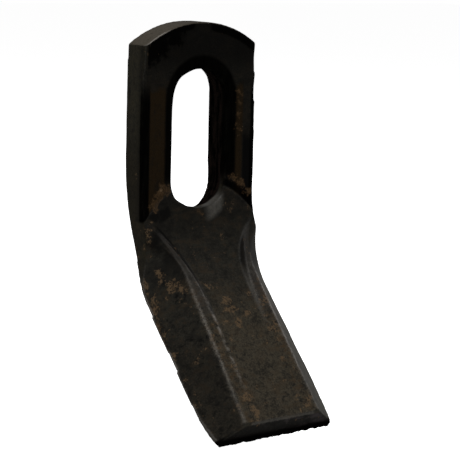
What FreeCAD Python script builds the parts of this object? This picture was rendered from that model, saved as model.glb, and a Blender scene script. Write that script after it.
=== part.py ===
# Hedge cutter mulcher blade, forged in one piece from flat bar.
# The shank stands up along +Z with its back on y = 0 and its front towards -Y.
# The origin is the middle of the fixing slot on the back face. Lengths are in millimetres, angles in degrees.
import FreeCAD, Part
import Sketcher
import math
import os

doc = FreeCAD.newDocument("mulcher_blade")

# Driving sizes
SIZES = {
    "shank_thickness": 11.8,  # front to back of the flat shank
    "shoulder_width": 49.2,  # across the shank where the crown begins
    "shoulder_height": 34.6,  # from the middle of the slot up to the shoulders
    "crown_rise": 8.2,  # the crown's arc above the shoulders
    "side_bulge": 0.5,  # the shank's sides, hammered out between shoulder and waist
    "waist_width": 49.6,  # across the shank where the blade begins to widen
    "waist_drop": 33.2,  # from the middle of the slot down to the waist
    "blade_width": 55.6,  # across the two cutting edges
    "blade_width_drop": 62.5,  # from the middle of the slot down to the full blade width
    "toe_inset": 3.3,  # each cutting edge drawn in at the sheared end
    "toe_length": 15.0,  # how far above the end the cutting edges start to draw in
    "slot_width": 23.0,  # the fixing slot's width
    "slot_length": 53.0,  # the fixing slot's length from end to end
    "slot_rim_radius": 4.3,  # the rolled front rim of the slot
    "edge_radius": 1.7,  # the rounded front edges of the shank
    "crank_angle": 44.0,  # the blade's back face, forward from the shank
    "back_corner_drop": 37.7,  # from the slot's middle to where the two back faces would meet
    "back_bend_radius": 68.0,  # the long bend of the back
    "blade_length": 86.2,  # down the back from where the two faces would meet to the end
    "front_angle": 40.6,  # the blade's front face, forward from the shank
    "front_corner_drop": 29.7,  # from the slot's middle to where the two front faces would meet
    "front_bend_radius": 30.0,  # the short bend of the front
    "shear_angle": 15.0,  # the sheared end, off square to the blade's back
    "scoop_step": 1.0,  # the scoop's head below the front of the shank
    "scoop_arch_radius": 29.6,  # the arch that ends the flat front of the shank
    "scoop_arch_drop": 15.3,  # from the slot's middle down to the top of that arch
    "scoop_corner_drop": 32.1,  # from the slot's middle to where the scoop's floor would meet its head
    "scoop_angle": 43.0,  # the scoop's floor, forward from the shank
    "scoop_bend_radius": 42.0,  # the scoop's floor round the bend
    "channel_width": 20.0,  # the channel's floor between the two ribs, at its narrowest
    "channel_run": 30.0,  # down the channel's floor, from its meeting with the head to where it is narrowest
    "channel_flare_radius": 57.7,  # the channel's sides where they flare out to its head
    "channel_flare_rise": 10.0,  # how far above that meeting the flare goes on
    "channel_draft": 45.0,  # the slope of the ribs' inner sides, off square to the floor
    "bevel_angle": 45.5,  # the side bevels off the back face, at the bend
    "bevel_end_angle": 38.5,  # the side bevels off the back face, at the end
    "runout_start": 25,  # down the back, from the meeting of its faces to where the bevels are full
    "runout_radius": 27,  # the bevels' run-out towards the shank
    "runout_sweep": 62.0,  # how far round the run-out is cut
    "trim": 3.0,  # how far each cutting outline passes outside the steel
}

# A sketch edge's own points
START, END, CENTRE = 1, 2, 3
ORIGIN = (-1, START)

sheet = doc.addObject("Spreadsheet::Sheet", "sizes")
for row, (alias, value) in enumerate(SIZES.items(), 1):
    sheet.set("A%d" % row, alias)
    sheet.set("B%d" % row, str(value))
    sheet.setAlias("B%d" % row, alias)
doc.recompute()


def sized(text):
    """An expression in full: a size is written $name for short."""
    return text.replace("$", "sizes.")


def worked_out(text):
    value = sheet.evalExpression(sized(text))
    return float(getattr(value, "Value", value))


class Outline:
    """A closed line in a sketch. Its corners are pairs of expressions, across and up from the origin."""

    def __init__(self, sketch):
        self.sketch = sketch
        self.corners = {}

    def place(self, corner):
        return FreeCAD.Vector(worked_out(corner[0]), worked_out(corner[1]), 0)

    def bind(self, kind, references, text):
        index = self.sketch.addConstraint(Sketcher.Constraint(kind, *references, worked_out(text)))
        self.sketch.setExpression("Constraints[%d]" % index, sized(text))

    def join(self, corner, edge, end):
        """Ties an edge's end to a corner: the first edge there holds the corner's place."""
        if corner in self.corners:
            self.sketch.addConstraint(Sketcher.Constraint("Coincident", *self.corners[corner], edge, end))
            return
        self.corners[corner] = (edge, end)
        self.bind("DistanceX", (*ORIGIN, edge, end), corner[0])
        self.bind("DistanceY", (*ORIGIN, edge, end), corner[1])

    def lines(self, *corners):
        for start, end in zip(corners, corners[1:]):
            segment = Part.LineSegment(self.place(start), self.place(end))
            edge = self.sketch.addGeometry(segment, False)
            self.join(start, edge, START)
            self.join(end, edge, END)

    def add_arc(self, start, end, centre):
        a, b = self.place(start) - centre, self.place(end) - centre
        circle = Part.Circle(centre, FreeCAD.Vector(0, 0, 1), a.Length)
        arc = Part.ArcOfCircle(circle, math.atan2(a.y, a.x), math.atan2(b.y, b.x))
        edge = self.sketch.addGeometry(arc, False)
        self.join(start, edge, START)
        self.join(end, edge, END)
        return edge

    def arc(self, start, end, radius):
        """The shorter arc that runs anticlockwise from start to end."""
        a, b, r = self.place(start), self.place(end), worked_out(radius)
        chord = b - a
        left = FreeCAD.Vector(-chord.y, chord.x, 0).normalize()
        centre = (a + b) * 0.5 + left * math.sqrt(r * r - chord.Length**2 / 4)
        self.bind("Radius", (self.add_arc(start, end, centre),), radius)

    def half_circle(self, start, end, centre_height):
        """Half a turn anticlockwise about a point on the centre line."""
        edge = self.add_arc(start, end, FreeCAD.Vector(0, worked_out(centre_height), 0))
        self.bind("DistanceY", (*ORIGIN, edge, CENTRE), centre_height)


def plane(body, role):
    return next(feature for feature in body.Origin.OriginFeatures if feature.Role == role)


def new_sketch(body, role, name, offset=None):
    """A sketch on one of the body's own planes, moved off it by an expression where one is given."""
    sketch = body.newObject("Sketcher::SketchObject", name)
    sketch.AttachmentSupport = [(plane(body, role), "")]
    sketch.MapMode = "FlatFace"
    if offset:
        sketch.setExpression("AttachmentOffset", sized(offset))
    return sketch


# Places that several outlines share
BACK_RUN = "$back_bend_radius * tan($crank_angle / 2)"
FRONT_RUN = "$front_bend_radius * tan($front_angle / 2)"
SCOOP_RUN = "$scoop_bend_radius * tan($scoop_angle / 2)"
TOP = "($shoulder_height + $crown_rise + $trim)"
REACH = "($blade_width + 4 * $trim)"
BACK_END = ("(-$blade_length * sin($crank_angle))", "(-$back_corner_drop - $blade_length * cos($crank_angle))")
END_TILT = "($crank_angle + $shear_angle)"
END_HEIGHT = (
    "(((%s + $shank_thickness) * cos($front_angle) - (%s + $front_corner_drop) * sin($front_angle))"
    " / cos(%s - $front_angle))" % (*BACK_END, END_TILT)
)
FRONT_END = (
    "(%s - %s * cos(%s))" % (BACK_END[0], END_HEIGHT, END_TILT),
    "(%s + %s * sin(%s))" % (BACK_END[1], END_HEIGHT, END_TILT),
)


def bulged(half_chord, rise):
    """The radius of an arc from half its chord and its rise."""
    return "(((%s)^2 + (%s)^2) / (2 * %s))" % (half_chord, rise, rise)


# The sides seen from the front: at the waist they lean in, then they turn out by the flare and back upright
SIDE_HEIGHT = "($shoulder_height + $waist_drop)"
SIDE_RADIUS = bulged(SIDE_HEIGHT + " / 2", "$side_bulge")
SIDE_SPREAD = "(($waist_width - $shoulder_width) / 2)"
SIDE_CHORD = "sqrt(%s^2 + %s^2)" % (SIDE_HEIGHT, SIDE_SPREAD)
LEAN = "((asin(%s / 2 / %s) - atan(%s / %s)) / 1 deg)" % (SIDE_CHORD, SIDE_RADIUS, SIDE_SPREAD, SIDE_HEIGHT)
FLARE_DROP = "($blade_width_drop - $waist_drop)"
SPREAD = "(($blade_width - $waist_width) / 2 / %s)" % FLARE_DROP
FLARE = (
    "((atan(%s) + acos((1 + cos(%s) - %s * sin(%s)) / (2 * sqrt(1 + %s^2)))) / 1 deg)"
    % (SPREAD, LEAN, SPREAD, LEAN, SPREAD)
)
FLARE_RADIUS = "(%s / (2 * sin(%s) + sin(%s)))" % (FLARE_DROP, FLARE, LEAN)


def side_profile(body):
    """The cranked bar seen from its side: +Y across, +Z up."""
    outline = Outline(new_sketch(body, "YZ_Plane", "side_profile"))
    back_top = ("0", TOP)
    back_bend_top = ("0", "-$back_corner_drop + %s" % BACK_RUN)
    back_bend_foot = (
        "-%s * sin($crank_angle)" % BACK_RUN, "-$back_corner_drop - %s * cos($crank_angle)" % BACK_RUN
    )
    back_end = BACK_END
    front_end = FRONT_END
    front_bend_foot = (
        "-$shank_thickness - %s * sin($front_angle)" % FRONT_RUN,
        "-$front_corner_drop - %s * cos($front_angle)" % FRONT_RUN,
    )
    front_bend_top = ("-$shank_thickness", "-$front_corner_drop + %s" % FRONT_RUN)
    front_top = ("-$shank_thickness", TOP)
    outline.lines(back_top, back_bend_top)
    outline.arc(back_bend_foot, back_bend_top, "$back_bend_radius")
    outline.lines(back_bend_foot, back_end, front_end, front_bend_foot)
    outline.arc(front_bend_foot, front_bend_top, "$front_bend_radius")
    outline.lines(front_bend_top, front_top, back_top)
    return outline.sketch


def plan_outline(body):
    """The forging's outline seen from the front: +X across, +Z up, inside a frame of waste."""
    outline = Outline(new_sketch(body, "XZ_Plane", "plan_outline"))
    foot = "%s - $trim" % BACK_END[1]
    under = "%s - 2 * $trim" % BACK_END[1]
    over = "%s + $trim" % TOP
    waste = [(REACH, over), ("-" + REACH, over), ("-" + REACH, under), (REACH, under)]
    outline.lines(*waste, waste[0])
    right, left = [
        {
            "shoulder": (sign + "$shoulder_width / 2", "$shoulder_height"),
            "waist": (sign + "$waist_width / 2", "-$waist_drop"),
            "turn": (
                "%s($waist_width / 2 + %s * (cos(%s) - cos(%s)))" % (sign, FLARE_RADIUS, LEAN, FLARE),
                "-$waist_drop - %s * (sin(%s) + sin(%s))" % (FLARE_RADIUS, LEAN, FLARE),
            ),
            "widest": (sign + "$blade_width / 2", "-$blade_width_drop"),
            "draw_in": (sign + "$blade_width / 2", "%s + $toe_length" % BACK_END[1]),
            "toe": ("%s($blade_width / 2 - $toe_inset)" % sign, BACK_END[1]),
            "foot": ("%s($blade_width / 2 - $toe_inset)" % sign, foot),
        }
        for sign in ("", "-")
    ]
    toe_radius = bulged("$toe_length", "$toe_inset")
    outline.arc(right["shoulder"], left["shoulder"], bulged("$shoulder_width / 2", "$crown_rise"))
    outline.arc(left["shoulder"], left["waist"], SIDE_RADIUS)
    outline.arc(left["turn"], left["waist"], FLARE_RADIUS)
    outline.arc(left["turn"], left["widest"], FLARE_RADIUS)
    outline.lines(left["widest"], left["draw_in"])
    outline.arc(left["draw_in"], left["toe"], toe_radius)
    outline.lines(left["toe"], left["foot"], right["foot"], right["toe"])
    outline.arc(right["toe"], right["draw_in"], toe_radius)
    outline.lines(right["draw_in"], right["widest"])
    outline.arc(right["widest"], right["turn"], FLARE_RADIUS)
    outline.arc(right["waist"], right["turn"], FLARE_RADIUS)
    outline.arc(right["waist"], right["shoulder"], SIDE_RADIUS)
    return outline.sketch


def slot_outline(body):
    """The fixing slot: two straight sides and two round ends."""
    outline = Outline(new_sketch(body, "XZ_Plane", "slot_outline"))
    side = "$slot_width / 2"
    straight = "($slot_length - $slot_width) / 2"
    top_right = (side, straight)
    top_left = ("-" + side, straight)
    foot_left = ("-" + side, "-" + straight)
    foot_right = (side, "-" + straight)
    outline.half_circle(top_right, top_left, straight)
    outline.lines(top_left, foot_left)
    outline.half_circle(foot_left, foot_right, "-" + straight)
    outline.lines(foot_right, top_right)
    return outline.sketch


def channel_outline(body):
    """The channel's floor, seen square to it: narrow between the ribs, and flared towards its head."""
    frame = (
        "placement(vector(0; -$scoop_corner_drop; $shank_thickness - $scoop_step);"
        " rotation(vector(1; 0; 0); -$scoop_angle))"
    )
    outline = Outline(new_sketch(body, "XZ_Plane", "channel_outline", frame))
    flare = (
        "($channel_width / 2 + $channel_flare_radius"
        " - sqrt($channel_flare_radius^2 - ($channel_run + $channel_flare_rise)^2))"
    )
    over = "2 * $channel_run"
    right, left = [
        {
            "over": (sign + flare, over),
            "flared": (sign + flare, "$channel_flare_rise"),
            "throat": (sign + "$channel_width / 2", "-$channel_run"),
            "foot": (sign + "$channel_width / 2", "-$blade_length"),
        }
        for sign in ("", "-")
    ]
    outline.lines(right["over"], left["over"], left["flared"])
    outline.arc(left["throat"], left["flared"], "$channel_flare_radius")
    outline.lines(left["throat"], left["foot"], right["foot"], right["throat"])
    outline.arc(right["flared"], right["throat"], "$channel_flare_radius")
    outline.lines(right["flared"], right["over"])
    return outline.sketch


def scoop_bend(body):
    """What lies behind the scoop's floor in the bend and above it, seen from the side."""
    outline = Outline(new_sketch(body, "YZ_Plane", "scoop_bend"))
    head = "-$shank_thickness + $scoop_step"
    behind = "2 * $blade_length"
    over = "4 * $blade_length"
    foot_height = "-$scoop_corner_drop - %s * cos($scoop_angle)" % SCOOP_RUN
    bend_top = (head, "-$scoop_corner_drop + %s" % SCOOP_RUN)
    bend_foot = ("%s - %s * sin($scoop_angle)" % (head, SCOOP_RUN), foot_height)
    outline.arc(bend_foot, bend_top, "$scoop_bend_radius")
    outline.lines(bend_foot, (behind, foot_height), (behind, over), (head, over), bend_top)
    return outline.sketch


def above_arch(body):
    """What lies above the scoop's arched edge, seen from the front."""
    outline = Outline(new_sketch(body, "XZ_Plane", "above_arch"))
    spring = "-$scoop_arch_drop - $scoop_arch_radius"
    right, left = ("$scoop_arch_radius", spring), ("-$scoop_arch_radius", spring)
    far = "4 * $blade_length"
    outline.half_circle(right, left, spring)
    outline.lines(left, ("-" + far, spring), ("-" + far, far), (far, far), (far, spring), right)
    return outline.sketch


def bevel_section(body, name, outward):
    """The steel that a side bevel takes off, at a distance from the cutting edge up the bevel's slope."""
    frame = (
        "placement(vector(0; -$back_corner_drop; $blade_width / 2);"
        " rotation(vector(0; 0; 1); -$crank_angle) * rotation(vector(0; 1; 0); 180 + $bevel_angle))"
        " * placement(vector(0; 0; %s); rotation(vector(0; 0; 1); 0))" % outward
    )
    outline = Outline(new_sketch(body, "YZ_Plane", name, frame))
    twist = "(atan((%s) * tan($bevel_angle - $bevel_end_angle) / ($blade_length - $runout_start)) / 1 deg)" % outward
    far = "($blade_length + 4 * $trim)"
    waste = "(2 * $blade_width)"
    full = ("0", "-$runout_start")
    end = ("-(%s - $runout_start) * tan%s" % (far, twist), "-" + far)
    top_height = "-$runout_start + $runout_radius * (sin($runout_sweep + %s) - sin%s)" % (twist, twist)
    top = ("$runout_radius * (cos%s - cos($runout_sweep + %s))" % (twist, twist), top_height)
    outline.arc(top, full, "$runout_radius")
    outline.lines(full, end, (waste, "-" + far), (waste, top_height), top)
    return outline.sketch


def both_ways(body, kind, name, sketch, length):
    """A pad or pocket that runs the same length to each side of its sketch."""
    feature = body.newObject("PartDesign::" + kind, name)
    feature.Profile = sketch
    feature.SideType = "Symmetric"
    feature.setExpression("Length", sized(length))
    doc.recompute()
    return feature


def edges_where(feature, wanted):
    """The names of a feature's edges whose point halfway along is wanted."""
    names = []
    for number, edge in enumerate(feature.Shape.Edges, 1):
        halfway = edge.valueAt((edge.FirstParameter + edge.LastParameter) / 2)
        if wanted(halfway):
            names.append("Edge%d" % number)
    return names


def rolled(body, name, base, names, radius):
    feature = body.newObject("PartDesign::Fillet", name)
    feature.Base = (base, names)
    feature.setExpression("Radius", sized(radius))
    doc.recompute()
    return feature


def scoop_cutter():
    """The punch that sinks the scoop: a drafted channel, its floor bent up at the head, under an arch."""
    body = doc.addObject("PartDesign::Body", "scoop_cutter")
    channel = body.newObject("PartDesign::Pad", "channel")
    channel.Profile = channel_outline(body)
    channel.setExpression("Length", sized("1.5 * ($scoop_corner_drop - $scoop_arch_drop)"))
    channel.setExpression("TaperAngle", sized("$channel_draft"))
    doc.recompute()
    both_ways(body, "Pocket", "bent_floor", scoop_bend(body), "4 * $blade_length")
    both_ways(body, "Pocket", "arched_head", above_arch(body), "8 * $blade_length")
    return body


def blade():
    """The forging: bar, outline, slot with its rolled rim, scoop between its ribs, and two side bevels."""
    body = doc.addObject("PartDesign::Body", "blade")
    both_ways(body, "Pad", "cranked_bar", side_profile(body), REACH)
    trimmed = both_ways(body, "Pocket", "trimmed_bar", plan_outline(body), "4 * $blade_length")
    near = 0.01
    front = near - worked_out("$shank_thickness")
    side = worked_out("$shoulder_width / 4")
    shoulder = worked_out("$shoulder_height") - near
    sides = edges_where(trimmed, lambda p: abs(p.y - front) < 2 * near and abs(p.x) > side and p.z < shoulder)
    rolled(body, "rounded_sides", trimmed, sides, "$edge_radius")
    slotted = both_ways(body, "Pocket", "slot", slot_outline(body), "4 * $blade_length")
    half_width = worked_out("$slot_width / 2") + near
    half_length = worked_out("$slot_length / 2") + near
    rim = edges_where(slotted, lambda p: p.y < front and abs(p.x) < half_width and abs(p.z) < half_length)
    rolled(body, "slot_rim", slotted, rim, "$slot_rim_radius")
    scoop = body.newObject("PartDesign::Boolean", "scoop")
    scoop.Type = "Cut"
    scoop.setObjects([scoop_cutter()])
    doc.recompute()
    first = bevel_section(body, "bevel_at_edge", "-$trim")
    second = bevel_section(body, "bevel_at_ridge", "2 * $shank_thickness")
    bevel = body.newObject("PartDesign::SubtractiveLoft", "right_bevel")
    bevel.Profile = first
    bevel.Sections = [second]
    bevel.Ruled = True
    doc.recompute()
    bevels = body.newObject("PartDesign::Mirrored", "both_bevels")
    bevels.Originals = [bevel]
    bevels.MirrorPlane = (plane(body, "YZ_Plane"), [""])
    body.Tip = bevels
    doc.recompute()
    return body


part = blade()
part.Label = "blade"

for item in doc.Objects:
    if {"Invalid", "Error"} & set(item.State):
        raise RuntimeError("%s is %s" % (item.Name, item.State))
if part.Shape.isNull() or not part.Shape.isValid() or len(part.Shape.Solids) != 1:
    raise RuntimeError("the blade isn't one sound solid")

os.makedirs("parts", exist_ok=True)
part.Shape.exportStep("parts/%s.step" % part.Label)
box = part.Shape.optimalBoundingBox(False)
print("volume %.0f mm3" % part.Shape.Volume)
print("box X %.2f..%.2f Y %.2f..%.2f Z %.2f..%.2f" % (box.XMin, box.XMax, box.YMin, box.YMax, box.ZMin, box.ZMax))
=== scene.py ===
import math
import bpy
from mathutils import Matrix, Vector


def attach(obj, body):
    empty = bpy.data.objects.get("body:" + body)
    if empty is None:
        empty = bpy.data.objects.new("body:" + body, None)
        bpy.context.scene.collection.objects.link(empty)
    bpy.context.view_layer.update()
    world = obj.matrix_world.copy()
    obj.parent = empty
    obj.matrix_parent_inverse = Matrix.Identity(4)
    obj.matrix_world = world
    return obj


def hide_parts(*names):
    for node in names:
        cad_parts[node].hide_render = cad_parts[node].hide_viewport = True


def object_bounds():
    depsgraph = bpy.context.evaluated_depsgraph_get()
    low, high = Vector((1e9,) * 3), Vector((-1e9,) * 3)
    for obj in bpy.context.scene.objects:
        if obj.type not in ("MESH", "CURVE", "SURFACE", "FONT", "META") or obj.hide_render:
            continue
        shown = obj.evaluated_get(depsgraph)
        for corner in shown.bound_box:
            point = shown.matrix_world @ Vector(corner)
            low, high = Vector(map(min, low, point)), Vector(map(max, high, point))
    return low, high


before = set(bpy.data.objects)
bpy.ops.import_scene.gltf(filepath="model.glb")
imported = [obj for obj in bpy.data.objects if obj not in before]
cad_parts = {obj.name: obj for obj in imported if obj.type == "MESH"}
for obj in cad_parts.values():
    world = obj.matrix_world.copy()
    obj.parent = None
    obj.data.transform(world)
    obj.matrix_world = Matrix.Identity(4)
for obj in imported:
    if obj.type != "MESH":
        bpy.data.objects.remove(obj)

from types import SimpleNamespace

import bpy
import numpy as np
from mathutils import Matrix, Vector, noise
from mathutils.bvhtree import BVHTree
from mathutils.kdtree import KDTree

start_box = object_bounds()
scene = bpy.context.scene
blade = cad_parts["blade"]

# The camera stands to the blade's left and a little above it. Lengths are in metres.
AIM = Vector((0.00775, -0.02046, -0.03251))
DISTANCE = 0.5904
AZIMUTH, ELEVATION, ROLL = math.radians(-36.81), math.radians(9.85), math.radians(1.44)
LENS = 126.2


def make_camera():
    across = math.cos(ELEVATION)
    back = Vector((math.sin(AZIMUTH) * across, -math.cos(AZIMUTH) * across, math.sin(ELEVATION)))
    data = bpy.data.cameras.new("camera")
    data.lens = LENS
    data.sensor_width = 36.0
    data.clip_start = 0.01
    camera = bpy.data.objects.new("camera", data)
    scene.collection.objects.link(camera)
    level = (-back).to_track_quat("-Z", "Y").to_matrix()
    turned = (level @ Matrix.Rotation(ROLL, 3, "Z")).to_4x4()
    camera.matrix_world = Matrix.Translation(AIM + back * DISTANCE) @ turned
    scene.camera = camera


make_camera()

# The forged surface. From here on, places on the blade are in millimetres.
GRID = 0.55  # the spacing of the sculpted net
SHARP = 0.85  # two faces meet in a sharp edge where the cosine between them is under this
BEAD = 0.1  # the spacing of the points taken along a sharp edge
ARCH_RADIUS, ARCH_CENTRE = 29.6, -44.9  # the edge where the flat front ends and the scoop begins
CROWN_RADIUS, CROWN_CENTRE = 41.0, 1.8  # the arc of the crown
SLOT_STRAIGHT = 15.0  # half the length of the slot's straight sides
RIB_SIDE, FLARE_RADIUS, THROAT = 10.0, 57.7, -54.0  # the channel's half width, its flare and the flare's foot
FLOOR_LEAN = 0.731  # how far the channel's floor drops for each millimetre along it
BACK_END = (-59.88, -99.71)  # the back corner of the sheared end, along Y and Z
END_RISE = (-0.515, 0.857)  # from that corner up the sheared end
HAMMERED = ((9.0, 0.07), (3.1, 0.03), (1.3, 0.02))  # the sizes and heights of the unevenness in the faces


def fade(value, low, high):
    """Runs smoothly from 0 at low to 1 at high."""
    t = np.clip((value - low) / (high - low), 0.0, 1.0)
    return t * t * (3 - 2 * t)


def gridded(node):
    """The node's form as an even net of small faces."""
    rough = bpy.data.objects.new("rough_blade", node.data.copy())
    scene.collection.objects.link(rough)
    net = rough.modifiers.new("net", "REMESH")
    net.mode = "VOXEL"
    net.voxel_size = GRID / 1000
    mesh = bpy.data.meshes.new_from_object(rough.evaluated_get(bpy.context.evaluated_depsgraph_get()))
    bpy.data.objects.remove(rough)
    return mesh


class Clay:
    """The points of a mesh, pushed about as an array."""

    def __init__(self, mesh):
        self.mesh = mesh
        flat = np.empty(len(mesh.vertices) * 3)
        mesh.vertices.foreach_get("co", flat)
        self.points = flat.reshape(-1, 3) * 1000
        ends = np.empty(len(mesh.edges) * 2, dtype=np.int32)
        mesh.edges.foreach_get("vertices", ends)
        self.ends = ends.reshape(-1, 2)
        self.count = np.bincount(ends, minlength=len(self.points))

    def around(self, values):
        """Each point's mean over its neighbours."""
        a, b = self.ends.T
        size = len(self.points)
        sums = [np.bincount(a, v[b], size) + np.bincount(b, v[a], size) for v in values.T]
        return np.array(sums).T / self.count[:, None]

    def smooth(self, rounds, share):
        """Rounds the points off, by a share that may differ from point to point."""
        for _ in range(rounds):
            self.points += (self.around(self.points) - self.points) * share[:, None]

    def shape_mesh(self):
        self.mesh.vertices.foreach_set("co", (self.points / 1000).ravel())
        self.mesh.update()

    def normals(self):
        self.shape_mesh()
        flat = np.empty(len(self.points) * 3)
        self.mesh.vertices.foreach_get("normal", flat)
        return flat.reshape(-1, 3)

    def settle(self, node):
        """Lays the points back on the node's own surface."""
        tree = BVHTree.FromPolygons(
            [v.co for v in node.data.vertices], [tuple(p.vertices) for p in node.data.polygons]
        )
        self.points = np.array([tree.find_nearest(Vector(p / 1000))[0] for p in self.points]) * 1000

    def follow(self, node, reach):
        """Draws the points next to the node's sharp edges onto them."""
        mesh = node.data
        faces = {}
        for polygon in mesh.polygons:
            for key in polygon.edge_keys:
                faces.setdefault(key, []).append(polygon.normal)
        beads = []
        for (a, b), sides in faces.items():
            if len(sides) == 2 and sides[0].dot(sides[1]) < SHARP:
                start, end = mesh.vertices[a].co * 1000, mesh.vertices[b].co * 1000
                steps = max(1, int((end - start).length / BEAD))
                beads += [start.lerp(end, n / steps) for n in range(steps + 1)]
        tree = KDTree(len(beads))
        for n, bead in enumerate(beads):
            tree.insert(bead, n)
        tree.balance()
        for n, point in enumerate(self.points):
            bead, _, away = tree.find(Vector(point))
            if away < reach:
                self.points[n] = bead

    def grain(self, size, seed):
        """Soft noise, about -1 to 1, with lumps of a size."""
        shift = Vector((seed * 17.3, seed * 5.1, seed * 9.7))
        return np.array([noise.noise(Vector(p) / size + shift) for p in self.points])

    def keep(self, name, values):
        layer = self.mesh.attributes.new(name, "FLOAT", "POINT")
        layer.data.foreach_set("value", values)


def soften(clay, rise, inside):
    """Rounds the arch's lip and the pressed blade most, and the cutting edges and the end's corner least."""
    x, y, z = clay.points.T
    arch = ARCH_CENTRE + np.sqrt(np.maximum(ARCH_RADIUS**2 - x**2, 0))
    lip = np.exp(-(((z - arch) / 3.0) ** 2)) * fade(-y, 9, 11)
    pressed = fade(-z, 14, 24) * (1 - 0.7 * np.exp(-((inside / 3.0) ** 2)))
    keen = fade(np.abs(x), 23.5, 26.0) * fade(-z, 38, 46)
    keen = np.maximum(keen, 0.8 * fade(-np.hypot(rise, inside), -2.0, -0.8))
    clay.smooth(3, 0.5 - 0.42 * keen)
    clay.smooth(7, 0.55 * np.maximum(lip, 0.75 * pressed) * (1 - keen))


def edge_bend(clay, face):
    """How far each point stands out from its smoothed surroundings: high on outer edges."""
    flat = clay.points.copy()
    for _ in range(14):
        flat += (clay.around(flat) - flat) * 0.5
    return np.einsum("ij,ij->i", clay.points - flat, face)


def slot_moves(clay, face):
    """The slot's front rim made fuller, its two ends filled at the front, and its top eased at the back."""
    x, y, z = clay.points.T
    past_straight = z - np.clip(z, -SLOT_STRAIGHT, SLOT_STRAIGHT)
    gap = np.maximum(np.hypot(x, past_straight), 0.1)
    outward = np.array([x / gap, 0 * x, past_straight / gap]).T
    inward = -(face[:, 0] * x + face[:, 2] * past_straight) / gap
    upward = past_straight / gap

    full = (2.4 + 1.4 * fade(z, 10, 20) + 1.0 * fade(-z, 14, 22)) * (inward * face[:, 1]) ** 2
    full = full * fade(-y, 7, 8) * fade(-gap, -16.5, -15) * (face[:, 1] < 0)
    eased = 0.9 * fade(past_straight, 1, 8) * fade(y, -8, -0.5) * fade(-gap, -19, -11.5)
    foot = 1.2 * fade(-upward, 0.45, 0.85) + 0.45 * fade(-upward, 0.82, 1.0)
    top = 0.7 * fade(upward, 0.6, 0.95)
    filled = (foot + top) * fade(-y, 3, 9) * fade(-gap, -18, -13)
    return face * full[:, None] + outward * (eased - filled)[:, None]


def forge(node):
    """The blade as hammered and sheared: soft edges, uneven faces and a torn end."""
    clay = Clay(gridded(node))
    clay.settle(node)
    clay.follow(node, GRID * 0.6)
    y, z = clay.points[:, 1] - BACK_END[0], clay.points[:, 2] - BACK_END[1]
    rise = y * END_RISE[0] + z * END_RISE[1]  # up the sheared end from its back corner
    inside = y * END_RISE[1] - z * END_RISE[0]  # into the steel from the sheared end
    soften(clay, rise, inside)

    face = clay.normals()
    bend = edge_bend(clay, face)
    skin = sum(height * clay.grain(size, seed) for seed, (size, height) in enumerate(HAMMERED, 1)) - 0.05
    nicks = np.maximum(clay.grain(2.4, 4) - 0.25, 0) * fade(bend, 0.05, 0.25)
    tear = np.exp(-np.maximum(rise, 0) / 3.0) * fade(-inside, -2.5, -0.6)
    torn = tear * (0.20 + 0.55 * clay.grain(1.5, 5) + 0.35 * clay.grain(0.8, 6))
    dents = 0.15 * nicks + 0.8 * np.maximum(torn, 0)
    clay.points += face * (skin - dents)[:, None] + slot_moves(clay, face)

    low, high = [np.array(corner) * 1000 for corner in start_box]
    clay.points = np.clip(clay.points, low, high)
    clay.shape_mesh()
    clay.keep("edge", bend)
    clay.keep("tear", np.clip(tear, 0, 1))
    clay.mesh.polygons.foreach_set("use_smooth", [True] * len(clay.mesh.polygons))
    forged = bpy.data.objects.new("forged_blade", clay.mesh)
    scene.collection.objects.link(forged)
    return forged


# Materials


class Wire:
    """One value in a material, so that shading is written as plain sums."""

    def __init__(self, paint, socket):
        self.paint = paint
        self.socket = socket

    def sum(self, kind, *values):
        inputs = dict(enumerate(values))
        return self.paint.add("ShaderNodeMath", {"operation": kind}, inputs)

    def __add__(self, other):
        return self.sum("ADD", self, other)

    __radd__ = __add__

    def __sub__(self, other):
        return self.sum("SUBTRACT", self, other)

    def __rsub__(self, other):
        return self.sum("SUBTRACT", other, self)

    def __mul__(self, other):
        return self.sum("MULTIPLY", self, other)

    __rmul__ = __mul__

    def __truediv__(self, other):
        return self.sum("DIVIDE", self, other)

    def __pow__(self, other):
        return self.sum("POWER", self, other)

    def __neg__(self):
        return self * -1.0

    def __abs__(self):
        return self.sum("ABSOLUTE", self)

    def root(self):
        return self.sum("SQRT", self.sum("MAXIMUM", self, 0.0))

    def most(self, other):
        return self.sum("MAXIMUM", self, other)

    def fade(self, low, high):
        """Runs smoothly from 0 at low to 1 at high, or down where high is the lower."""
        if low > high:
            return 1.0 - self.fade(high, low)
        ends = {"From Min": low, "From Max": high}
        return self.paint.add(
            "ShaderNodeMapRange", {"interpolation_type": "SMOOTHSTEP"}, {"Value": self, **ends}
        )


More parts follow.
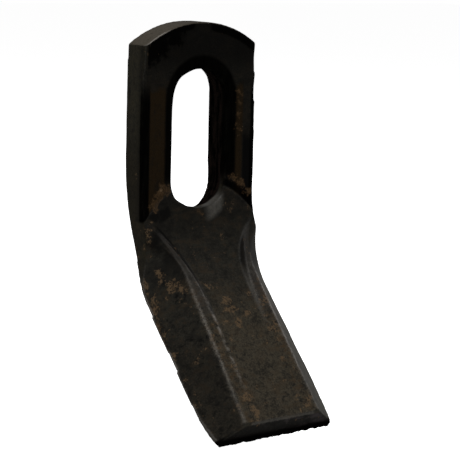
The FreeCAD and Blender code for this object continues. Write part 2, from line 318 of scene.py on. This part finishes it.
class Paint:
    """A material of one principled shader, with the sums that feed it."""

    def __init__(self, name, colour):
        self.material = bpy.data.materials.new(name)
        self.material.use_nodes = True
        self.tree = self.material.node_tree
        self.shader = self.tree.nodes["Principled BSDF"]
        self.colour = (*colour, 1.0)

    def feed(self, socket, value):
        if isinstance(value, Wire):
            self.tree.links.new(value.socket, socket)
        else:
            socket.default_value = value

    def add(self, kind, settings, inputs, output=0):
        node = self.tree.nodes.new(kind)
        for name, value in settings.items():
            setattr(node, name, value)
        for name, value in inputs.items():
            self.feed(node.inputs[name], value)
        return Wire(self, node.outputs[output])

    def lay(self, share, colour):
        """Covers the colour laid so far with another, by a share from 0 to 1."""
        inputs = {0: share, 6: self.colour, 7: (*colour, 1.0)}
        self.colour = self.add("ShaderNodeMix", {"data_type": "RGBA"}, inputs, 2)

    def kept(self, name):
        return self.add("ShaderNodeAttribute", {"attribute_name": name}, {}, "Fac")

    def vector(self, kind, *values):
        return self.add("ShaderNodeVectorMath", {"operation": kind}, dict(enumerate(values)))

    def parts(self, vector):
        return [self.add("ShaderNodeSeparateXYZ", {}, {0: vector}, n) for n in range(3)]

    def noise(self, place, size, detail, roughness=0.55, twist=0.0):
        """Noise from 0 to 1, about 0.5, with lumps of a size in millimetres."""
        inputs = {"Vector": place, "Scale": 1 / size, "Detail": detail, "Roughness": roughness}
        return self.add("ShaderNodeTexNoise", {}, {**inputs, "Distortion": twist})

    def spots(self, place, reach, centres):
        """1 at the centres, down to 0 at a reach in millimetres."""
        whole = 0.0
        for centre in centres:
            away = self.add("ShaderNodeVectorMath", {"operation": "DISTANCE"}, {0: place, 1: centre}, "Value")
            whole = away.fade(reach, 0.0).most(whole)
        return whole

    def bump(self, height, distance, strength, normal=None):
        inputs = {"Height": height, "Distance": distance / 1000, "Strength": strength}
        if normal:
            inputs["Normal"] = normal
        return self.add("ShaderNodeBump", {}, inputs)

    def finish(self, **sockets):
        for name, value in sockets.items():
            self.feed(self.shader.inputs[name.replace("_", " ")], value)


BLACK_SCALE = (0.0006, 0.00056, 0.0005)
SOOT = (0.0027, 0.0024, 0.0019)
DARK_STEEL = (0.0080, 0.0074, 0.0060)
GREY_STEEL = (0.0148, 0.0141, 0.0110)
FLANK_GREY = (0.0170, 0.0152, 0.0096)
FLANK_BROWN = (0.0078, 0.0063, 0.0036)
DUST = (0.0385, 0.0320, 0.0222)
BROWN_OXIDE = (0.0084, 0.0053, 0.0025)
EARTH = (0.0190, 0.0125, 0.0068)
TAN_RUST = (0.072, 0.048, 0.028)
STAIN = (0.034, 0.0205, 0.0100)
WORN_STEEL = (0.086, 0.079, 0.070)
RUBBED_GREY = (0.049, 0.046, 0.040)
BRUSHED_TOP = (0.050, 0.043, 0.033)
WALL_BROWN = (0.0080, 0.0052, 0.0042)
TORN_GREY = (0.0270, 0.0225, 0.0230)
RIDGE_GREY = (0.0235, 0.0215, 0.0195)

# The middles of the black patches, and then of the rust
CROWN_SPOTS = ((-22, -12, 31), (-18, -12, 34), (-12, -12, 37))
SCOOP_SPOTS = ((-20.5, -12.3, -27.0), (-16.0, -12.2, -26.4))
BEVEL_HEAD_SPOTS = ((-21, -14.5, -34.5), (-19.5, -15.5, -37.5), (-17.5, -18, -41))
LEFT_ARCH_SPOTS = ((-15, -12, -17.5), (-17.6, -12, -20), (-20, -12, -22.5))
RIGHT_ARCH_SPOTS = ((15, -12, -14.5), (18.5, -12, -17.0), (22, -12, -19.8))
SLOT_SIDE_SPOTS = ((16.6, -12, 17), (17.4, -12, 13), (17.0, -12, 9), (16.8, -12, 4))
SLOT_FOOT_SPOTS = ((-1.5, -11, -27.2), (1.5, -11.5, -27.8), (4.5, -11.5, -27.2))
BEVEL_SPOTS = ((-21.5, -19.0, -47.5), (-20.6, -21.5, -49.5), (-19, -24, -50))
CUTTING_EDGE_SPOTS = ((-26.4, -15, -50), (-26.5, -22, -58))
FLANK_SPOTS = ((-23.3, -14.3, -30.7), (-23.9, -15.3, -33.0), (-27, -26, -64))
CHANNEL_SPOTS = ((-1.5, -34.3, -57.3), (2.5, -36.5, -59.5))


def steel_grain(paint, place):
    """Noise of several kinds, and the place shaken by it, which makes spots ragged."""
    grain = SimpleNamespace()
    grain.cloud = paint.noise(place, 12.0, 4.0)
    grain.mottle = paint.noise(place, 4.2, 6.0, 0.62)
    grain.speckle = paint.noise(place, 1.6, 6.0, 0.75, 0.3)
    grain.grit = paint.noise(place, 0.55, 3.0, 0.6)
    grain.streak = paint.noise(paint.vector("MULTIPLY", place, (1.0, 1.0, 0.14)), 1.5, 4.0, 0.6)
    grain.smear = paint.noise(paint.vector("MULTIPLY", place, (0.45, 1.3, 1.3)), 2.0, 6.0, 0.7, 0.5)
    grain.patch = paint.noise(paint.vector("ADD", place, (40.0, 0.0, 0.0)), 3.4, 7.0, 0.68)
    grain.break_up = (grain.mottle - 0.5) * 0.9 + (grain.speckle - 0.5) * 0.9
    grain.ragged = (grain.mottle - 0.5) * 7.0 + (grain.speckle - 0.5) * 3.0
    lumps = {"Vector": place, "Scale": 0.3, "Detail": 6.0, "Roughness": 0.7}
    swirl = paint.add("ShaderNodeTexNoise", {}, lumps, "Color")
    swirl = paint.vector("MULTIPLY", paint.vector("SUBTRACT", swirl, (0.5, 0.5, 0.5)), (10.0, 5.0, 10.0))
    grain.near = paint.vector("ADD", place, swirl)
    return grain


def blade_zones(paint, place, grain):
    """Measures on the blade, and its zones as shares: 1 in the zone and 0 outside it."""
    at = SimpleNamespace()
    at.x, at.y, at.z = x, y, z = paint.parts(place)
    nx, ny, nz = paint.parts(paint.add("ShaderNodeNewGeometry", {}, {}, "Normal"))
    facing, ragged = -ny, grain.ragged
    at.side = side = abs(x)
    above = z - ((ARCH_RADIUS * ARCH_RADIUS - x * x).root() + ARCH_CENTRE)
    gap = (x * x + (abs(z) - SLOT_STRAIGHT).most(0.0) ** 2.0).root()
    below_crown = CROWN_RADIUS - (x * x + (z - CROWN_CENTRE) ** 2.0).root()
    at.inside = (y - BACK_END[0]) * END_RISE[1] + (z - BACK_END[1]) * -END_RISE[0]

    # The shank
    at.shank = shank = above.fade(-0.5, 0.8)
    at.shank_front = facing.fade(0.5, 0.8) * shank
    at.front = front = facing.fade(0.90, 0.985) * shank
    at.head = front * (z + ragged).fade(22.0, 32.0)
    at.crown = nz.fade(0.35, 0.55) * z.fade(30.0, 33.0)
    at.crown_edge = nz.fade(0.15, 0.4) * z.fade(33.0, 35.5) * (x + ragged * 0.5).fade(-13.0, -17.0)
    # Black along the crown's rounded front edge and in spots below it.
    crown_scale = below_crown.fade(4.5, 2.0) * x.fade(1.0, 6.0)
    crown_scale = crown_scale.most(paint.spots(grain.near, 7.5, CROWN_SPOTS))
    crown_scale = crown_scale.most(below_crown.fade(4.0, 1.0) * x.fade(-1.0, -6.0))
    at.crown_scale = (crown_scale + grain.break_up * 0.5).fade(0.1, 0.7)
    legs = front * (z + ragged).fade(21.0, 17.5) * side.fade(15.0, 16.2)
    at.legs = legs * (side + x.fade(-5.0, 5.0) * 4.0).fade(23.3, 22.2)
    at.right_leg = front * x.fade(18.3, 19.8) * (z + ragged).fade(6.0, -2.0)
    at.wall = wall = gap.fade(13.0, 12.2) * (y + 8.6).fade(-0.6, 0.8)
    at.flank = abs(nx).fade(0.80, 0.95) * (1.0 - wall)
    # Painted shade: black over the slot's front rim, the shank's side corners, the arch's lip and the slot's
    # walls.
    rim = gap.fade(16.6, 15.0) * (y + 7.6).fade(0.8, -0.4) * z.fade(-18.0, -12.0)
    corner = side.fade(22.0, 22.9) * (-y).fade(9.0, 10.0) * shank * z.fade(24.0, 14.0)
    arch_scale = shank * above.fade(4.8, 2.2) * (-y).fade(9.5, 10.5) * (x + ragged).fade(5.0, 10.0)
    at.dark = rim.most(corner).most(arch_scale).most(wall)

    # The scoop and the slot's foot
    at.under_arch = above.fade(0.0, -1.2) * z.fade(-48.0, -22.0) * facing.fade(0.3, 0.5)
    at.foot_stain = paint.spots(grain.near, 3.4, SLOT_FOOT_SPOTS)
    # A painted highlight on the slot's rim at its lower right.
    crescent = gap.fade(15.8, 13.4) * (1.0 - wall) * z.fade(-18.0, -22.0)
    at.crescent = crescent * x.fade(0.5, 4.5) * x.fade(12.2, 9.0) * (1.0 - at.foot_stain * 0.7)

    # The ribs between the channel and the crests of the bevels
    run = ((z - THROAT) / FLOOR_LEAN).most(0.0)
    rib_line = RIB_SIDE + FLARE_RADIUS - (FLARE_RADIUS * FLARE_RADIUS - run * run).root()
    crest_line = (z + 50.0).most(0.0) ** 2.0 * 0.0195 + 15.0
    ridge = (side - rib_line).fade(0.3, 1.2) * (crest_line - side).fade(-0.4, 0.6)
    at.ridge = ridge * z.fade(-31.0, -35.0) * z.fade(-64.0, -54.0) * facing.fade(0.2, 0.4)
    # A painted shadow: black along the channel's left wall near its top.
    groove = abs(side - rib_line).fade(0.85, 0.25) * z.fade(-51.0, -45.0) * z.fade(-28.0, -32.0)
    at.groove = groove * x.fade(0.0, -4.0) * facing.fade(0.2, 0.4)

    # The blade
    at.bevel = abs(nx).fade(0.30, 0.5) * nz.fade(0.1, 0.3) * z.fade(-30.0, -38.0)
    at.blade_front = facing.fade(0.40, 0.6) * nz.fade(0.45, 0.6) * z.fade(-30.0, -44.0)
    at.low_front = at.blade_front * z.fade(-42.0, -68.0)
    at.rib = at.blade_front * (side - 12.6 - (z + 60.0) * 0.05).fade(-3.5, -1.5)
    at.rib = at.rib * (side - 16.5).fade(2.0, 0.0) * z.fade(-44.0, -54.0)
    rib_edge = abs(side - 10.9 + grain.break_up).fade(1.2, 0.1) * at.blade_front * x.fade(0.0, -4.0)
    at.rib_edge = rib_edge * z.fade(-52.0, -57.0) * z.fade(-84.0, -74.0)
    at.sheared = (-nz).fade(0.2, 0.4) * z.fade(-78.0, -84.0) * facing.fade(0.3, 0.5)
    return at


def black_patches(paint, grain, at):
    """The share of black over the steel: black scale, and a painted shadow along the channel's left wall; the
    painted shade of the slot's rim, the arch and the corners is laid apart.
    """
    smears = (grain.mottle * 0.4 + grain.smear * 0.6).fade(0.49, 0.38)
    black = smears * (0.40 - 0.25 * at.low_front + 0.45 * at.bevel)
    black = black.most(at.head * 0.62).most(at.front * at.crown_scale * 0.97)
    scoop = paint.spots(grain.near, 4.5, SCOOP_SPOTS).most(paint.spots(grain.near, 6.0, BEVEL_HEAD_SPOTS))
    black = black.most((scoop + grain.break_up * 0.6).fade(0.2, 0.8) * 0.82) * (1.0 - at.ridge * 0.8)
    return black.most(at.groove * 0.85).most(at.right_leg * (grain.streak + 0.3).fade(0.3, 0.8))


def lay_scale(paint, grain, at, black):
    """Scale, oxide and oil, with painted shade on the slot's rim and walls, the arch, the shank's corners and
    the sheared end, and painted light on the crown's top.
    """
    x, y, z, ragged = at.x, at.y, at.z, grain.ragged
    mottle, speckle, streak, smear = grain.mottle, grain.speckle, grain.streak, grain.smear
    tone = (grain.cloud - 0.5) * 1.1 + (mottle - 0.5) * 1.3 + (speckle - 0.5) * 2.9 + (grain.grit - 0.5) * 2.4

    paint.lay((tone + 0.44 - at.bevel * 0.12).fade(0.0, 1.0), GREY_STEEL)
    paint.lay(at.flank * (tone * 0.6 + (streak - 0.5) * 1.5 + 0.6).fade(0.1, 1.0) * 0.9, FLANK_GREY)
    paint.lay(at.flank * (z + ragged).fade(12.0, -16.0) * z.fade(-50.0, -30.0) * 0.7, FLANK_BROWN)
    # Darker towards the front edge of the side faces.
    paint.lay(at.flank * at.shank * (-y + ragged * 0.3).fade(6.5, 9.5) * 0.6, SOOT)
    paint.lay(at.low_front * (tone * 0.6 + 0.55).fade(0.1, 0.9) * 0.85, DUST)
    # Darker on the shank's front faces and on the scoop just under the arch.
    paint.lay((at.under_arch * 0.75).most(at.shank_front * 0.82), SOOT)
    brown = (mottle * 0.5 + smear * 0.6 + grain.cloud * 0.3).fade(0.68, 0.82)
    paint.lay(brown * (0.45 - 0.35 * at.shank - 0.2 * at.under_arch), EARTH)
    paint.lay(at.rib * (mottle * 0.5 + smear * 0.7).fade(0.54, 0.78) * 0.6, STAIN)

    paint.lay(black, BLACK_SCALE)
    paint.lay(at.ridge * (0.45 + (speckle - 0.5) * 1.2), RIDGE_GREY)
    # Darker high on the bevels and, less, near their foot.
    paint.lay(at.bevel * (z.fade(-56.0, -40.0) * 0.85).most(z.fade(-62.0, -76.0) * 0.4), SOOT)
    paint.lay(at.legs * (streak * 0.6 + speckle * 0.8 - 0.04).fade(0.34, 0.72), BROWN_OXIDE)
    # Painted light: the up-facing top of the crown is lighter, most towards the left, broken by brushed
    # streaks.
    brushed = (0.25 + 0.75 * x.fade(6.0, -16.0)) * (streak + 0.2).fade(0.3, 0.7)
    paint.lay(at.crown * brushed, BRUSHED_TOP)

    # Painted shade, black, over the slot's rim and walls, the arch's lip and the shank's side corners.
    paint.lay(at.dark * (0.86 + 0.14 * streak.fade(0.6, 0.4)), BLACK_SCALE)
    paint.lay(at.wall * (streak + speckle * 0.4).fade(0.60, 0.82) * 0.8, WALL_BROWN)
    # Painted shade over the downward-facing sheared end, and grey patches that grow towards its right side,
    # which is painted lighter as a highlight.
    paint.lay(at.sheared * (0.74 + 0.26 * (tone * 0.7 + 0.5).fade(0.9, 0.1)), SOOT)
    paint.lay(at.sheared * (smear * 0.6 + mottle * 0.5 + x * 0.006).fade(0.56, 0.72) * 0.65, TORN_GREY)


def lay_rust(paint, grain, at):
    """Stains by the slot and the arch, and tan flecks. Returns the share of the flecks."""
    near, speckle, grit = grain.near, grain.speckle, grain.grit
    arch_ends = paint.spots(near, 4.4, LEFT_ARCH_SPOTS).most(paint.spots(near, 3.6, RIGHT_ARCH_SPOTS))
    slot_side = paint.spots(near, 3.6, SLOT_SIDE_SPOTS)
    stain = arch_ends.most(slot_side * 0.55).most(at.foot_stain * 0.9)
    stain = (stain + grain.break_up * 0.6).fade(0.34, 0.62)
    paint.lay(stain * (0.25 + 0.75 * (grit + speckle).fade(0.75, 1.25)), STAIN)

    worst = paint.spots(near, 4.6, BEVEL_SPOTS + CUTTING_EDGE_SPOTS).most(paint.spots(near, 3.0, FLANK_SPOTS))
    cutting = at.bevel * at.side.fade(23.0, 26.5)
    rusty = at.bevel * 0.15 + cutting * 0.45 + at.blade_front * 0.10 + worst * 2.0 + at.rib * 0.6
    rusty = rusty + paint.spots(near, 5.5, CHANNEL_SPOTS) * 1.8
    rusty = rusty + arch_ends * 0.8 - at.shank * (1.0 - arch_ends) * 0.6
    flecks = (grain.patch + rusty * 0.11 + (grain.cloud - 0.5) * 0.5).fade(0.62, 0.69)
    flecks = flecks * (speckle + grit * 0.6).fade(0.70, 0.86) * (1.0 - at.dark)
    paint.lay(flecks * 0.8, TAN_RUST)
    return flecks


def lay_wear(paint, grain, at):
    """Bright worn edges, rubbed faces, painted highlights on the right bevel and the slot's foot, and the
    torn end. Returns the shares of wear and of the torn end.
    """
    x, z = at.x, at.z
    mottle, speckle = grain.mottle, grain.speckle
    edge = paint.kept("edge")
    uneven_edge = edge + (grain.grit - 0.5) * 0.14 + (speckle - 0.5) * 0.26
    at_end = at.inside.fade(1.8, 0.9)
    rubbed = z.fade(-40.0, -58.0) * (1.0 - at.flank * 0.7)
    rubbed = rubbed * (1.0 - at_end * (0.3 + at.side.fade(13.0, 14.5) * 0.65))
    wear = (uneven_edge.fade(0.05, 0.22) * rubbed).most(uneven_edge.fade(0.20, 0.32) * at.crown_edge)
    wear = wear * (1.0 - z.fade(-74.0, -82.0) * 0.45)
    wear = wear.most(at.rib_edge * (speckle + mottle * 0.8).fade(0.76, 1.04) * 0.8)
    paint.lay(wear * 0.8, WORN_STEEL)

    # Painted highlights on the right bevel strip and the slot's foot, and lighter lower edges near the end.
    ground = (at.bevel * x.fade(0.0, 5.0) * z.fade(-44.0, -52.0)).most(at.crescent) * 0.75
    ground = ground.most(edge.fade(0.0, 0.16) * z.fade(-64.0, -78.0) * (1.0 - at_end) * 0.35)
    paint.lay(ground * (0.75 + (speckle - 0.5) * 1.4 + (mottle - 0.5) * 0.8), RUBBED_GREY)
    torn = paint.kept("tear").fade(0.06, 0.42)
    paint.lay(torn, BLACK_SCALE)
    return wear, torn


def oiled_steel():
    """Near-black scale and oil over steel: brown oxide, rust flecks, bright worn edges, painted shade and
    painted highlights.
    """
    paint = Paint("oiled_steel", DARK_STEEL)
    metres = paint.add("ShaderNodeTexCoord", {}, {}, "Object")
    place = paint.vector("MULTIPLY", metres, (1000.0, 1000.0, 1000.0))
    grain = steel_grain(paint, place)
    at = blade_zones(paint, place, grain)
    black = black_patches(paint, grain, at)
    lay_scale(paint, grain, at, black)
    flecks = lay_rust(paint, grain, at)
    wear, torn = lay_wear(paint, grain, at)

    dull = (at.head * at.crown_scale * 0.9).most(at.legs * 0.5)
    clean = (1.0 - torn) * (1.0 - at.dark) * (1.0 - flecks) * (1.0 - dull)
    gloss = (0.05 - at.shank_front * 0.015 + at.crescent * 0.10) * clean
    rough = 0.50 + (grain.mottle - 0.5) * 0.25 + (grain.speckle - 0.5) * 0.3 + flecks * 0.2
    fine = paint.bump(grain.grit * 0.5 + grain.speckle * 0.8 - black * 0.3 + flecks * 0.3, 0.18, 0.8)
    skin = paint.bump(grain.mottle + grain.streak * 0.3 + grain.patch * 0.5, 0.5, 0.55, fine)
    paint.finish(Base_Color=paint.colour, Metallic=wear * 0.6 * (1.0 - torn), Roughness=rough, Normal=skin)
    paint.finish(Specular_IOR_Level=0.0, Coat_Weight=gloss, Coat_Roughness=0.33)
    return paint.material


def place_blade():
    forged = forge(blade)
    forged.data.materials.clear()
    forged.data.materials.append(oiled_steel())
    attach(forged, "root")
    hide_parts("blade")


place_blade()

# The studio, in metres
LIT_POINT = (0, -0.02, -0.02)
FLOOR_DROP = 0.012  # the floor's distance below the blade


def area_light(name, place, size, power):
    data = bpy.data.lights.new(name, "AREA")
    data.shape = "SQUARE"
    data.size = size
    data.energy = power
    light = bpy.data.objects.new(name, data)
    scene.collection.objects.link(light)
    light.location = place
    light.rotation_mode = "QUATERNION"
    light.rotation_quaternion = (Vector(LIT_POINT) - Vector(place)).to_track_quat("-Z", "Y")


area_light("overhead", (-0.05, -0.45, 0.80), 0.45, 6.0)
area_light("left_fill", (-0.90, -0.35, 0.25), 0.60, 1.4)
area_light("right_rim", (0.80, 0.25, 0.30), 0.60, 5.0)


def white_surroundings():
    """White to the camera and in reflections, and a plain grey light on everything else."""
    world = bpy.data.worlds.new("studio")
    scene.world = world
    world.use_nodes = True
    tree = world.node_tree
    background = tree.nodes["Background"]
    background.inputs["Color"].default_value = (1, 1, 1, 1)
    path = tree.nodes.new("ShaderNodeLightPath")
    seen = path.outputs["Is Camera Ray"]
    for ray in ("Is Glossy Ray", "Is Transmission Ray"):
        either = tree.nodes.new("ShaderNodeMath")
        either.operation = "MAXIMUM"
        tree.links.new(seen, either.inputs[0])
        tree.links.new(path.outputs[ray], either.inputs[1])
        seen = either.outputs[0]
    level = tree.nodes.new("ShaderNodeMapRange")
    level.inputs["To Min"].default_value = 0.4
    level.inputs["To Max"].default_value = 1.0
    tree.links.new(seen, level.inputs["Value"])
    tree.links.new(level.outputs[0], background.inputs["Strength"])


white_surroundings()


def white_floor():
    """A white floor that keeps a soft shadow."""
    bpy.ops.mesh.primitive_plane_add(size=8.0, location=(0, 0, start_box[0].z - FLOOR_DROP))
    floor = bpy.context.object
    floor.name = "floor"
    paint = Paint("white_floor", (0.9, 0.9, 0.9))
    camera, glossy = [
        paint.add("ShaderNodeLightPath", {}, {}, ray) for ray in ("Is Camera Ray", "Is Glossy Ray")
    ]
    glow = camera * 0.62 + glossy * 0.15
    grey = paint.add("ShaderNodeCombineColor", {}, {0: glow, 1: glow, 2: glow})
    paint.finish(Base_Color=paint.colour, Roughness=0.9, Specular_IOR_Level=0.0)
    paint.finish(Emission_Color=grey, Emission_Strength=1.0)
    floor.data.materials.append(paint.material)


white_floor()

scene.view_settings.view_transform = "Standard"
